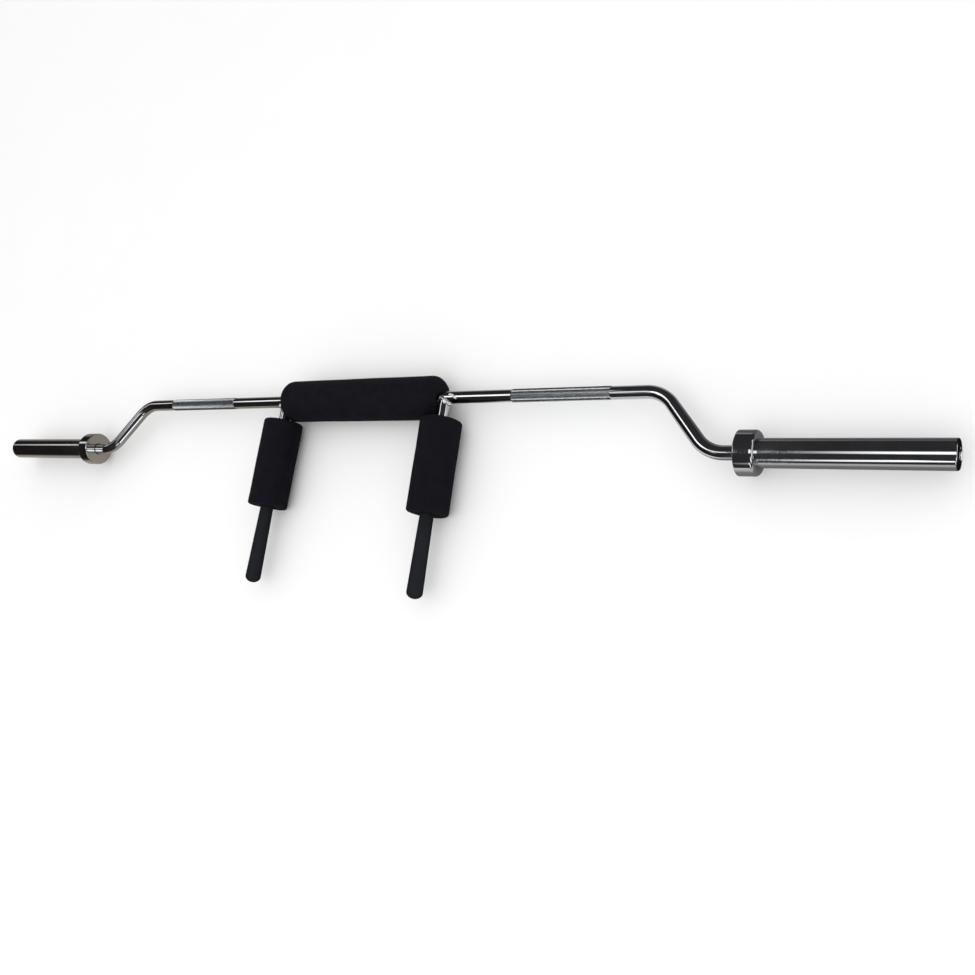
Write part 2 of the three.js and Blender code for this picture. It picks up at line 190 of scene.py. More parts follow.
def polished(name, colour, stretch, cleanest, dullest, depth):
    """Polished metal, with the marks and smudges of polish_marks in its gloss, tone and relief."""
    material, tree, shader, place = finish_of(name)
    marks = add(tree, "ShaderNodeGroup", node_tree=polish_group)
    tree.links.new(place, marks.inputs["Place"])
    marks.inputs["Stretch"].default_value = stretch
    marks.inputs["Cleanest"].default_value = cleanest
    marks.inputs["Dullest"].default_value = dullest
    smudged = tuple(smudged_share * v for v in colour[:3]) + (1,)
    tone = mixed(tree, marks.outputs["Tone"], smudged, colour)
    relief = {"Height": marks.outputs["Height"], "Strength": 1, "Distance": depth}
    bump = add(tree, "ShaderNodeBump", relief)
    tree.links.new(tone, shader.inputs["Base Color"])
    tree.links.new(marks.outputs["Roughness"], shader.inputs["Roughness"])
    tree.links.new(bump.outputs[0], shader.inputs["Normal"])
    shader.inputs["Metallic"].default_value = 1
    return material


def bar_line():
    """The bar's centre line from its middle to the last straight: x, drop and heading. Level to the
    first bend; x = start + R sin a, drop = R (1 - cos a) round it; the slant; then the same
    arc turned half round, which ends level at the camber's depth."""
    a = np.linspace(0, bend_angle, bend_steps)
    run, drop = bend_radius * np.sin(a), bend_radius * (1 - np.cos(a))
    first = np.stack([bend_start + run, drop, a], 1)
    second = np.stack([bend_end - run, camber - drop, a], 1)
    return np.vstack([first, second[::-1]])


def carried(line, radii, sides):
    """A round profile carried along a flat line (x, drop, heading): ring i is the circle
    centre + r (cos t across + sin t flat), where across is the heading turned a quarter in the
    camber's plane and flat is that plane's own normal."""
    down = np.array([0, -math.cos(camber_lift), math.sin(camber_lift)])
    flat = np.array([0, math.sin(camber_lift), math.cos(camber_lift)])
    along = np.array([1.0, 0, 0])
    centre = np.array([0, shaft_y, shaft_z]) + line[:, :1] * along + line[:, 1:2] * down
    across = np.sin(line[:, 2:]) * along - np.cos(line[:, 2:]) * down
    t = np.linspace(0, 2 * np.pi, sides, endpoint=False)[None, :, None]
    circle = np.cos(t) * across[:, None] + np.sin(t) * flat
    return centre[:, None] + np.asarray(radii)[:, None, None] * circle


half = bar_line()
groove_end_x = ring_groove_x + groove_width
tail = np.array([
    [shoulder_x, shaft_radius],
    [shoulder_x, journal_radius],
    [ring_groove_x, journal_radius],
    [ring_groove_x, groove_radius],
    [groove_end_x, groove_radius],
    [groove_end_x, journal_radius],
    [journal_end_x - bevel, journal_radius],
    [journal_end_x, journal_radius - bevel],
])
tail_line = np.stack([tail[:, 0], np.full(len(tail), camber), np.zeros(len(tail))], 1)
right_half = np.vstack([half, tail_line])
right_radii = np.concatenate([np.full(len(half), shaft_radius), tail[:, 1]])
left_half = right_half[::-1] * np.array([-1, 1, -1])
shaft_line = np.vstack([left_half, right_half])
shaft_radii = np.concatenate([right_radii[::-1], right_radii])
shaft = skin("chromed_shaft", carried(shaft_line, shaft_radii, shaft_sides))
shaft_chrome = polished(
    "shaft_chrome", chrome_colour, stretch=(30, 1100, 1100), cleanest=0.035, dullest=0.10, depth=1.2e-6
)
shaft.data.materials.append(shaft_chrome)
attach(shaft, "bar")
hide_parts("shaft")


# The knurled bands: a diamond pattern rolled into the bar on each side for the hands, then plated
# with the rest. Two sets of grooves cross, and raise rows of small four-sided points.

knurl_end, knurl_length = 0.59066, 0.212
knurl_valley, knurl_peak = 0.01271, 0.01313
knurl_columns, knurl_sink = 160, 0.0006
knurl_slant = math.radians(30)
knurl_colour = (0.62, 0.65, 0.67, 1)


def knurled_band(name, start, length):
    """Rings of the band. Ring i has its point j at the peak radius where i + j is odd, and at the
    valley radius where it is even, so that each peak is a point with four faces. The end rings sit
    below the bar's surface and close the band."""
    column = 2 * math.pi * shaft_radius / knurl_columns
    rows = 2 * round(length / (column / math.tan(knurl_slant)) / 2)
    x = np.linspace(start, start + length, rows + 1)
    i, j = np.indices((rows + 1, knurl_columns))
    radius = np.where((i + j) % 2 == 1, knurl_peak, knurl_valley)
    radius[[0, -1]] = shaft_radius
    x = np.concatenate([x[:1], x, x[-1:]])
    inner = np.full((1, knurl_columns), shaft_radius - knurl_sink)
    radius = np.vstack([inner, radius, inner])
    t = 2 * np.pi * np.arange(knurl_columns) / knurl_columns
    rings = np.empty(radius.shape + (3,))
    rings[..., 0] = x[:, None]
    rings[..., 1] = shaft_y + radius * np.cos(t)
    rings[..., 2] = shaft_z + radius * np.sin(t)
    return skin(name, rings, looped=True, diamonds=True)


knurl_chrome = polished(
    "knurl_chrome", knurl_colour, stretch=(400, 400, 400), cleanest=0.18, dullest=0.26, depth=3e-6
)
for side, start in (("left", -knurl_end), ("right", knurl_end - knurl_length)):
    band = knurled_band(f"{side}_knurled_band", start, knurl_length)
    band.data.materials.append(knurl_chrome)
    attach(band, "bar")


# The arms: two steel tubes with their feet cut to the bar's round, welded on square to it and
# chromed with it. The weld is a bead run once round the foot, left as it was laid. On the right
# the torch ran on over the bar for two centimetres.

arm_x = 0.2165
arm_radius, arm_wall = 0.0125, 0.0025
arm_tube_end = 0.4031
arm_splay = math.radians(0.5)
arm_sides = 72
foot_inset = 0.0005

weld_radius, weld_gap = 0.0042, 0.0006
weld_steps, weld_sides = 336, 18
start_angle, start_spread, start_shift, start_growth = 0.66, 0.32, 0.0030, 0.42
stop_angle, stop_spread, stop_shift, stop_growth = 1.45, 0.26, 0.0008, 0.34
# Where two glints are painted on the weld: round each centre metallic falls, and the pale colour shows
# white.
glint_centres = [(0.2248, 0.1712, 0.0572), (0.2300, 0.1690, 0.0472)]
glint_inside, glint_outside, glint_metallic = 0.0030, 0.0050, 0.2

run_off_start, run_off_length, run_off_sway = 0.2325, 0.0200, 0.0004
# The tail is only partly metallic, so its pale colour shows white along it: a painted highlight.
run_off_radius, run_off_glint_metallic = 0.0026, 0.45
run_off_steps, run_off_sides = 90, 14
run_off_turns = [(0, 99), (0.25, 100), (0.5, 92), (1, 58)]

weld_colour, weld_stretch = (0.88, 0.89, 0.90, 1), (500, 500, 500)


def splayed(points, side):
    """Points of an arm drawn straight, turned outwards about its foot by the splay: the offset
    (dx, dy) from the foot becomes (dx cos s - dy sin s, dx sin s + dy cos s), s = + or - the splay."""
    s = arm_splay if side == "right" else -arm_splay
    foot = np.array([arm_x if side == "right" else -arm_x, shaft_y, 0])
    turn = np.array([[math.cos(s), math.sin(s), 0], [-math.sin(s), math.cos(s), 0], [0, 0, 1]])
    return foot + (points - foot) @ turn


def saddle(radius, t):
    """How far from the bar's axis a tube of this radius meets the bar's round, at angle t
    round the tube: sqrt(R squared - (r sin t) squared)."""
    return np.sqrt(np.maximum(shaft_radius ** 2 - (radius * np.sin(t)) ** 2, 0))


def arm_tube(name, x, side):
    """Four rings, looped: the outer foot and inner foot on the saddle curve, a little inside
    the bar, and the outer and inner end."""
    t = np.linspace(0, 2 * np.pi, arm_sides, endpoint=False)
    inner = arm_radius - arm_wall
    rings = [
        (arm_radius, saddle(arm_radius, t) - foot_inset),
        (arm_radius, np.full_like(t, arm_tube_end)),
        (inner, np.full_like(t, arm_tube_end)),
        (inner, saddle(inner, t) - foot_inset),
    ]
    points = [
        np.stack([x + r * np.cos(t), shaft_y - reach, shaft_z + r * np.sin(t)], 1)
        for r, reach in rings
    ]
    return skin(name, splayed(np.array(points), side), looped=True)


def swelling(t, middle, spread):
    """A smooth swelling about one place round the foot: exp(-((t - middle) / spread) squared)."""
    return np.exp(-((t - middle) / spread) ** 2)


def weld_bead(name, x, side, phase):
    """A bead carried round the saddle curve. Its round section has the radius
    rho = rho0 (0.7 + slow lumps of the hand + one ripple for each step of the torch), and it swells
    and moves out along the tube at two places of the outer half, where the run starts and stops."""
    t = np.linspace(0, 2 * np.pi, weld_steps, endpoint=False)
    outer = 1 if side == "right" else -1
    start = swelling(t, np.pi / 2 - start_angle * outer, start_spread)
    stop = swelling(t, np.pi / 2 - stop_angle * outer, stop_spread)
    centre = np.stack([
        x + arm_radius * np.cos(t),
        shaft_y - saddle(arm_radius, t) - weld_gap - start_shift * start - stop_shift * stop,
        shaft_z + arm_radius * np.sin(t),
    ], 1)
    heading = np.roll(centre, -1, 0) - np.roll(centre, 1, 0)
    heading /= np.linalg.norm(heading, axis=1, keepdims=True)
    outward = np.stack([np.cos(t), np.zeros(weld_steps), np.sin(t)], 1)
    rise = np.cross(heading, outward)
    rise /= np.linalg.norm(rise, axis=1, keepdims=True)
    outward = np.cross(rise, heading)
    lumps = 0.14 * np.sin(3 * t + phase) + 0.10 * np.sin(5 * t + 2.1 * phase) + 0.05 * np.sin(11 * t)
    ripples = 0.11 * np.abs(np.sin(14 * t + 0.6 * np.sin(2 * t + phase)))
    radius = weld_radius * (0.70 + lumps + ripples + start_growth * start + stop_growth * stop)
    u = np.linspace(0, 2 * np.pi, weld_sides, endpoint=False)[None, :, None]
    section = np.cos(u) * outward[:, None] + np.sin(u) * rise[:, None]
    return skin(name, splayed(centre[:, None] + radius[:, None, None] * section, side), looped=True)


def weld_tail(name):
    """A round section carried along a path on the bar's face: x = start + length s + a slow sway,
    and the angle from the front follows run_off_turns. The radius has one ripple for each step of
    the torch and tapers at both ends as sqrt(1 - (2 s - 1) to the fourth)."""
    s = np.linspace(0, 1, run_off_steps)
    x = run_off_start + run_off_length * s + run_off_sway * np.sin(16 * s)
    share, degrees = zip(*run_off_turns)
    angle = np.radians(np.interp(s, share, degrees))
    outward = np.stack([np.zeros(run_off_steps), -np.cos(angle), np.sin(angle)], 1)
    centre = np.array([0, shaft_y, shaft_z]) + shaft_radius * outward
    centre[:, 0] = x
    heading = np.gradient(centre, axis=0)
    heading /= np.linalg.norm(heading, axis=1, keepdims=True)
    aside = np.cross(heading, outward)
    aside /= np.linalg.norm(aside, axis=1, keepdims=True)
    ripples = 0.8 + 0.2 * np.abs(np.sin(22 * s))
    taper = np.sqrt(np.maximum(1 - (2 * s - 1) ** 4, 0.01))
    radius = run_off_radius * ripples * taper
    u = np.linspace(0, 2 * np.pi, run_off_sides, endpoint=False)[None, :, None]
    section = np.cos(u) * outward[:, None] + np.sin(u) * aside[:, None]
    return skin(name, centre[:, None] + radius[:, None, None] * section)


def stepped(tree, value, low, high, at_low, at_high):
    """A smooth step of a value: at_low where it is low, at_high where it is high."""
    ends = {"From Min": low, "From Max": high, "To Min": at_low, "To Max": at_high}
    made = add(tree, "ShaderNodeMapRange", {"Value": value, **ends}, interpolation_type="SMOOTHSTEP")
    return made.outputs[0]


def product(tree, first, *others):
    """All the values multiplied."""
    for other in others:
        first = add(tree, "ShaderNodeMath", {0: first, 1: other}, operation="MULTIPLY").outputs[0]
    return first


def parted(tree, place):
    """The x, y and z of a place."""
    return add(tree, "ShaderNodeSeparateXYZ", {0: place}).outputs


def unsigned(tree, value):
    """A value without its sign, which makes an x the distance from the bar's middle."""
    return add(tree, "ShaderNodeMath", {0: value}, operation="ABSOLUTE").outputs[0]


def painted_glints(material):
    """Paints glints on the bead's lumps: metallic falls towards the middle of each one, so that the
    pale colour shows white there, a painted highlight. Each is given for the right arm and mirrored for
    the left."""
    tree = material.node_tree
    x, y, z = parted(tree, add(tree, "ShaderNodeTexCoord").outputs["Object"])
    place = add(tree, "ShaderNodeCombineXYZ", {0: unsigned(tree, x), 1: y, 2: z}).outputs[0]
    shares = []
    for centre in glint_centres:
        gap = add(tree, "ShaderNodeVectorMath", {0: place, 1: centre}, operation="DISTANCE")
        shares.append(stepped(tree, gap.outputs["Value"], glint_inside, glint_outside, glint_metallic, 1))
    tree.links.new(product(tree, *shares), tree.nodes["Principled BSDF"].inputs["Metallic"])


arm_chrome = polished(
    "arm_chrome", chrome_colour, stretch=(900, 30, 900), cleanest=0.04, dullest=0.12, depth=1.2e-6
)
weld_chrome = polished(
    "weld_chrome", weld_colour, weld_stretch, cleanest=0.20, dullest=0.34, depth=5e-5
)
# Painted highlights: two white glints on the weld bead.
painted_glints(weld_chrome)
tail_chrome = polished(
    "weld_tail_chrome", weld_colour, weld_stretch, cleanest=0.20, dullest=0.34, depth=5e-5
)
# Painted highlight: the tail's lowered metallic lets its pale colour show white all along it.
tail_chrome.node_tree.nodes["Principled BSDF"].inputs["Metallic"].default_value = run_off_glint_metallic
for side, x, phase in (("left", -arm_x, 0.7), ("right", arm_x, 2.9)):
    tube = arm_tube(f"{side}_chromed_arm", x, side)
    tube.data.materials.append(arm_chrome)
    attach(tube, "bar")
    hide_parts(f"{side}_arm_tube")
    bead = weld_bead(f"{side}_weld_bead", x, side, phase)
    bead.data.materials.append(weld_chrome)
    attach(bead, "bar")
    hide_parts(f"{side}_arm_weld")

run_off = weld_tail("right_weld_tail")
run_off.data.materials.append(tail_chrome)
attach(run_off, "bar")


# The neck roller: a thick tube of black closed-cell foam, moulded with domed ends and pushed on
# before the arms are welded. The arms press a dent into its ends, and the floor flattens it a little.

roller_radius, roller_half, roller_dome = 0.0454, 0.208, 0.020
roller_bore, roller_sides = 0.0130, 160
roller_ripple, ripple_start = 0.00012, 0.03
mouth_depth, mouth_length, mouth_rise, mouth_radius = 0.0048, 0.012, 0.004, 0.024
mouth_low, mouth_high = -0.35, 0.1
press_gap, press_softness = 0.0003, 0.0007
press_forward, press_sideways = (0.002, 0.010), (0.150, 0.190)
edge_run = 0.0003

foam_dark, foam_light = (0.0037, 0.0038, 0.0064, 1), (0.0060, 0.0063, 0.0104, 1)
gloss_range, sheen_spread = 0.12, 0.5


def corner(centre_radius, centre_height, radius, start, stop, steps):
    """Points (radius, height) of a rounded edge: centre + r (cos a, sin a), with one more point a
    short run out along the straight at each end, which keeps the straight's shading flat."""
    a = np.linspace(start, stop, steps)
    arc = np.stack([centre_radius + radius * np.cos(a), centre_height + radius * np.sin(a)], 1)
    way = np.stack([-np.sin(a), np.cos(a)], 1) * edge_run
    return np.vstack([arc[0] - way[0], arc, arc[-1] + way[-1]])


def foam_cells():
    """The skin of closed-cell foam: rounded cells about a millimetre across, sunk along their
    edges, and a slow mottle where the skin is thicker. Size is the number of cells in a metre."""
    group, given, out = effect(
        "foam_cells",
        {"Place": ("NodeSocketVector", None), "Size": ("NodeSocketFloat", 800.0)},
        {"Height": "NodeSocketFloat", "Mottle": "NodeSocketFloat"},
    )
    grain = {"Vector": given["Place"], "Scale": given["Size"]}
    cells = add(group, "ShaderNodeTexVoronoi", grain, feature="F1")
    fuzz = add(group, "ShaderNodeTexNoise", {**grain, "Detail": 4})
    layers = {0: cells.outputs["Distance"], 1: fuzz.outputs[0]}
    high = add(group, "ShaderNodeMath", layers, operation="ADD")
    slow = add(
        group,
        "ShaderNodeTexNoise",
        {"Vector": given["Place"], "Scale": 45, "Detail": 6, "Roughness": 0.65},
    )
    span = {"Value": slow.outputs[0], "From Min": 0.3, "From Max": 0.7}
    mottle = add(group, "ShaderNodeMapRange", span)
    group.links.new(high.outputs[0], out["Height"])
    group.links.new(mottle.outputs[0], out["Mottle"])
    return group


cell_group = foam_cells()


def cellular(name, dark, light, size, depth, dullest, gloss, sheen):
    """Foam or rubber: foam_cells moves its colour between dark and light, and gives its relief."""
    material, tree, shader, place = finish_of(name)
    cells = add(tree, "ShaderNodeGroup", node_tree=cell_group)
    tree.links.new(place, cells.inputs["Place"])
    cells.inputs["Size"].default_value = size
    colour = mixed(tree, cells.outputs["Mottle"], dark, light)
    rough = add(
        tree,
        "ShaderNodeMapRange",
        {"Value": cells.outputs["Mottle"], "To Min": dullest - gloss_range, "To Max": dullest},
    )
    relief = {"Height": cells.outputs["Height"], "Strength": 1, "Distance": depth}
    bump = add(tree, "ShaderNodeBump", relief)
    tree.links.new(colour, shader.inputs["Base Color"])
    tree.links.new(rough.outputs[0], shader.inputs["Roughness"])
    tree.links.new(bump.outputs[0], shader.inputs["Normal"])
    shader.inputs["Specular IOR Level"].default_value = gloss
    shader.inputs["Sheen Weight"].default_value = sheen
    shader.inputs["Sheen Roughness"].default_value = sheen_spread
    return material


def step_up(value, low, high):
    """0 below low, 1 above high, and a smooth step 3 s^2 - 2 s^3 between."""
    s = np.clip((value - low) / (high - low), 0, 1)
    return s * s * (3 - 2 * s)


def neck_roller():
    """A profile (radius, x) turned round the bar, then pressed. At each end the soft smaller of x
    and the arm's own surface makes the dent, and the weld opens the bore; z stops at the floor."""
    crown, shoulder = roller_radius - roller_dome, roller_half - roller_dome
    outer = np.vstack([
        np.linspace((roller_bore, -roller_half), (crown, -roller_half), 9)[:-1],
        corner(crown, -shoulder, roller_dome, -np.pi / 2, 0, 24),
        np.linspace((roller_radius, -shoulder), (roller_radius, shoulder), 90)[1:-1],
        corner(crown, shoulder, roller_dome, 0, np.pi / 2, 24),
        np.linspace((crown, roller_half), (roller_bore, roller_half), 9)[1:],
        np.linspace((roller_bore, roller_half), (roller_bore, -roller_half), 40)[1:-1],
    ])
    t = np.linspace(0, 2 * np.pi, roller_sides, endpoint=False)[None]
    radius, x = outer[:, :1] * np.ones_like(t), outer[:, 1:] * np.ones_like(t)
    skin_only = step_up(radius, ripple_start, roller_radius)
    wave = np.sin(23 * x + 2 * t) + np.sin(41 * x - 3 * t + 1) + np.sin(9 * x + t + 2)
    radius = radius + roller_ripple * skin_only * wave
    towards_arm = -np.cos(t)
    near_end = step_up(np.abs(x), roller_half - mouth_length, roller_half - mouth_rise)
    mouth = mouth_depth * near_end * step_up(towards_arm, mouth_low, mouth_high)
    in_bore = 1 - step_up(radius, roller_bore + bevel, mouth_radius)
    radius = radius + mouth * in_bore
    y, z = radius * np.cos(t), radius * np.sin(t)
    press = arm_radius + press_gap
    inside = np.sqrt(np.maximum(press ** 2 - z ** 2, 0))
    limit = arm_x - inside
    pressed = -press_softness * np.logaddexp(-np.abs(x) / press_softness, -limit / press_softness)
    share = step_up(-y, *press_forward) * step_up(np.abs(x), *press_sideways)
    x = np.sign(x) * (np.abs(x) + share * (pressed - np.abs(x)))
    rings = np.stack([x, shaft_y + y, np.maximum(shaft_z + z, 0)], -1)
    return skin("foam_neck_roller", rings, looped=True)


foam = cellular(
    "black_foam", foam_dark, foam_light, size=900, depth=1.1e-4, dullest=0.95, gloss=0.09, sheen=0.015
)
roller = neck_roller()
roller.data.materials.append(foam)
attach(roller, "bar")
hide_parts("neck_pad")


# The arm pads: the same foam, cut off square from a long tube and pushed up the arms. They lie on
# the lifter's shoulders. A saw leaves the ends a little wavy, and the tight bore draws them in.

pad_radius, pad_edge = 0.0432, 0.005
pad_start, pad_length = 0.0481, 0.1935
pad_bore, pad_sides = 0.0128, 144
pad_ripple, pad_cut_wave, pad_draw, draw_radius = 0.00013, 0.0006, 0.0014, 0.024


def arm_pad(name, x, side, phase):
    """A profile (radius, reach) turned round the arm. The reach of the end faces gains a low wave
    sin(2 t) across the cut and sinks towards the bore; the skin gains slow waves along the pad."""
    end, rim = pad_start + pad_length, pad_radius - pad_edge
    profile = np.vstack([
        np.linspace((pad_bore, pad_start), (rim, pad_start), 14)[:-1],
        corner(rim, pad_start + pad_edge, pad_edge, -np.pi / 2, 0, 12),
        np.linspace((pad_radius, pad_start + pad_edge), (pad_radius, end - pad_edge), 60)[1:-1],
        corner(rim, end - pad_edge, pad_edge, 0, np.pi / 2, 12),
        np.linspace((rim, end), (pad_bore, end), 14)[1:],
        np.linspace((pad_bore, end), (pad_bore, pad_start), 30)[1:-1],
    ])
    t = np.linspace(0, 2 * np.pi, pad_sides, endpoint=False)[None]
    radius, reach = profile[:, :1] * np.ones_like(t), profile[:, 1:] * np.ones_like(t)
    share = (reach - pad_start) / pad_length
    skin_only = step_up(radius, ripple_start, pad_radius)
    wave = np.sin(31 * reach + 2 * t + phase) + np.sin(57 * reach - 3 * t) + np.sin(4 * t + phase)
    radius = radius + pad_ripple * skin_only * wave
    inward = 1 - step_up(radius, pad_bore, draw_radius)
    sawn = pad_cut_wave * np.sin(2 * t + phase) * step_up(radius, pad_bore, pad_radius)
    cut = sawn + pad_draw * inward
    reach = reach + cut * (1 - step_up(share, 0, 0.1)) - cut * step_up(share, 0.9, 1)
    rings = np.stack([x + radius * np.cos(t), shaft_y - reach, shaft_z + radius * np.sin(t)], -1)
    return skin(name, splayed(rings, side), looped=True)


for side, x, phase in (("left", -arm_x, 0.4), ("right", arm_x, 1.9)):
    pad = arm_pad(f"{side}_foam_pad", x, side, phase)
    pad.data.materials.append(foam)
    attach(pad, "bar")
    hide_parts(f"{side}_arm_pad")


# The grips: moulded rubber sleeves with closed, rounded tips, a little thicker towards the tip,
# pushed over the ends of the arms up to the pads.

grip_start, grip_reach = 0.2419, 0.4114
grip_throat, grip_tip, grip_round, grip_wall = 0.0141, 0.0165, 0.013, 0.008
grip_sides, tip_flat, hub_radius = 96, 0.0006, 0.0004

rubber_dark, rubber_light = (0.0068, 0.0084, 0.0122, 1), (0.0100, 0.0122, 0.0172, 1)


def rubber_grip(name, x, side):
    """A profile (radius, reach) turned round the arm: the cup's floor and bore, the throat's
    bevelled edge, a straight taper, and a quarter of an ellipse for the tip."""
    a = np.linspace(0, np.pi / 2, 24)[:-1]
    round_start = grip_reach - grip_round
    inside = grip_reach - grip_wall
    tip = np.stack([grip_tip * np.cos(a), round_start + grip_round * np.sin(a)], 1)
    profile = np.vstack([
        [hub_radius, inside],
        [pad_bore, inside],
        [pad_bore, grip_start],
        [grip_throat - bevel, grip_start],
        [grip_throat, grip_start + bevel],
        np.linspace((grip_throat, grip_start + bevel), (grip_tip, round_start), 24)[1:-1],
        tip,
        [tip_flat, grip_reach],
    ])
    t = np.linspace(0, 2 * np.pi, grip_sides, endpoint=False)[None]
    radius, reach = profile[:, :1], profile[:, 1:]
    rings = np.stack([
        x + radius * np.cos(t),
        shaft_y - reach * np.ones_like(t),
        shaft_z + radius * np.sin(t),
    ], -1)
    return skin(name, splayed(rings, side))


rubber = cellular(
    "grip_rubber",
    rubber_dark,
    rubber_light,
    size=1500,
    depth=5e-5,
    dullest=0.70,
    gloss=0.15,
    sheen=0.015,
)
for side, x in (("left", -arm_x), ("right", arm_x)):
    grip = rubber_grip(f"{side}_rubber_grip", x, side)
    grip.data.materials.append(rubber)
    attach(grip, "bar")
    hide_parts(f"{side}_grip")


# The sleeves: thick steel tubes that turn on the journals, bored wider at each end for a bushing,
# chromed, and rounded on the outer edge so that plates slide on.

sleeve_y = shaft_y - camber * math.cos(camber_lift)
sleeve_z = shaft_z + camber * math.sin(camber_lift)
bar_end, plate_face, collar_face = 1.180, 0.877, 0.842
sleeve_radius, sleeve_bore, sleeve_edge, sleeve_waist = 0.025, 0.018, 0.003, 0.0155
sleeve_start = 0.8483
inner_step, outer_step = 0.8814, 1.1191
turned_sides = 144
scuffs_start, scuffs_end, scuff_dulling, scuff_depth = 0.89, 0.985, 0.16, 0.00013


def turned(name, profile, way, looped=True):
    """A profile (radius, x) turned round the sleeve's axis. Way is 1 for the right end of the
    bar and -1 for the left, where x is the other way."""
    t = np.linspace(0, 2 * np.pi, turned_sides, endpoint=False)[None]
    radius, x = profile[:, :1], profile[:, 1:]
    rings = np.stack([
        way * x * np.ones_like(t),
        sleeve_y + radius * np.cos(t),
        sleeve_z + radius * np.sin(t),
    ], -1)
    return skin(name, rings, looped)


def scuffed(material):
    """Adds the scuffs that plates leave by the collar: patches that dull the gloss and dent the
    face, and fade out along the sleeve."""
    tree = material.node_tree
    shader = tree.nodes["Principled BSDF"]
    place = add(tree, "ShaderNodeTexCoord").outputs["Object"]
    off_middle = unsigned(tree, parted(tree, place)[0])
    patches = add(tree, "ShaderNodeTexNoise", {"Vector": place, "Scale": 190, "Detail": 3}).outputs[0]
    scuffs = product(tree, patches, stepped(tree, off_middle, scuffs_start, scuffs_end, 1, 0))
    rough = shader.inputs["Roughness"].links[0].from_socket
    normal = shader.inputs["Normal"].links[0].from_socket
    duller_where_scuffed = {0: scuffs, 1: scuff_dulling, 2: rough}
    duller = add(tree, "ShaderNodeMath", duller_where_scuffed, operation="MULTIPLY_ADD")
    bump = add(
        tree,
        "ShaderNodeBump",
        {"Height": scuffs, "Strength": 1, "Distance": scuff_depth, "Normal": normal},
    )
    tree.links.new(duller.outputs[0], shader.inputs["Roughness"])
    tree.links.new(bump.outputs[0], shader.inputs["Normal"])


sleeve_profile = np.vstack([
    [sleeve_bore, sleeve_start],
    [sleeve_radius - bevel, sleeve_start],
    [sleeve_radius, sleeve_start + bevel],
    corner(sleeve_radius - sleeve_edge, bar_end - sleeve_edge, sleeve_edge, 0, np.pi / 2, 12),
    [sleeve_bore + bevel, bar_end],
    [sleeve_bore, bar_end - bevel],
    [sleeve_bore, outer_step],
    [sleeve_waist, outer_step],
    [sleeve_waist, inner_step],
    [sleeve_bore, inner_step],
])
sleeve_chrome = polished(
    "sleeve_chrome", chrome_colour, stretch=(1400, 60, 60), cleanest=0.035, dullest=0.11, depth=1.0e-6
)
scuffed(sleeve_chrome)
for side, way in (("left", -1), ("right", 1)):
    sleeve = turned(f"{side}_chromed_sleeve", sleeve_profile, way)
    sleeve.data.materials.append(sleeve_chrome)
    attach(sleeve, f"{side}_spinning_sleeve")
    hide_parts(f"{side}_sleeve")


# The shoulder collars: thick chromed rings pressed on the sleeves. Plates stop against the outer
# face, whose edge is well rounded, and a thin flange closes the inner face round the bar.

collar_radius, collar_flange, collar_throat = 0.039, 0.006, 0.0135
collar_face_edge, collar_plate_edge, seat_gap = 0.002, 0.0065, 0.0003

face_rim, plate_rim = collar_radius - collar_face_edge, collar_radius - collar_plate_edge
collar_profile = np.vstack([
    [collar_throat, collar_face + bevel],
    [collar_throat + bevel, collar_face],
    corner(face_rim, collar_face + collar_face_edge, collar_face_edge, -np.pi / 2, 0, 10),
    corner(plate_rim, plate_face - collar_plate_edge, collar_plate_edge, 0, np.pi / 2, 20),
    [sleeve_radius + seat_gap, plate_face],
    [sleeve_radius + seat_gap, collar_face + collar_flange],
    [collar_throat, collar_face + collar_flange],
])
collar_chrome = polished(
    "collar_chrome", chrome_colour, stretch=(1500, 50, 50), cleanest=0.04, dullest=0.12, depth=1.2e-6
)
for side, way in (("left", -1), ("right", 1)):
    collar = turned(f"{side}_chromed_collar", collar_profile, way)
    collar.data.materials.append(collar_chrome)
    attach(collar, f"{side}_spinning_sleeve")
    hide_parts(f"{side}_collar")


# The end caps: shallow cups pressed from sheet steel, dished on the face and pushed into the
# sleeve's bore, where they close it against dust.

cap_face, cap_back, cap_wall, cap_dish = 1.1785, 1.1665, 0.0024, 0.0012
cap_outer = sleeve_bore - seat_gap
cap_inner = cap_outer - cap_wall
cap_colour = (0.24, 0.243, 0.25, 1)

cap_profile = np.vstack([
    [hub_radius, cap_face - cap_wall - cap_dish],
    [cap_inner - bevel, cap_face - cap_wall - cap_dish],
    [cap_inner, cap_face - cap_wall - cap_dish - bevel],
    [cap_inner, cap_back],
    [cap_outer, cap_back],
    corner(cap_outer - bevel, cap_face - bevel, bevel, 0, np.pi / 2, 8),
    [cap_inner - bevel, cap_face],
    [cap_inner - bevel - cap_dish, cap_face - cap_dish],
    [hub_radius, cap_face - cap_dish],
])
cap_chrome = polished(
    "cap_chrome", cap_colour, stretch=(300, 300, 300), cleanest=0.14, dullest=0.26, depth=2e-6
)
for side, way in (("left", -1), ("right", 1)):
    cap = turned(f"{side}_pressed_cap", cap_profile, way, looped=False)
    cap.data.materials.append(cap_chrome)
    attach(cap, f"{side}_spinning_sleeve")
    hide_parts(f"{side}_end_cap")


# What the sleeves turn on: sintered bronze bushings soaked in oil, hardened washers and open
# snap rings. They are shut inside the sleeves, and keep their solids' shapes.

bronze_colour, steel_colour = (0.55, 0.36, 0.15, 1), (0.20, 0.20, 0.21, 1)

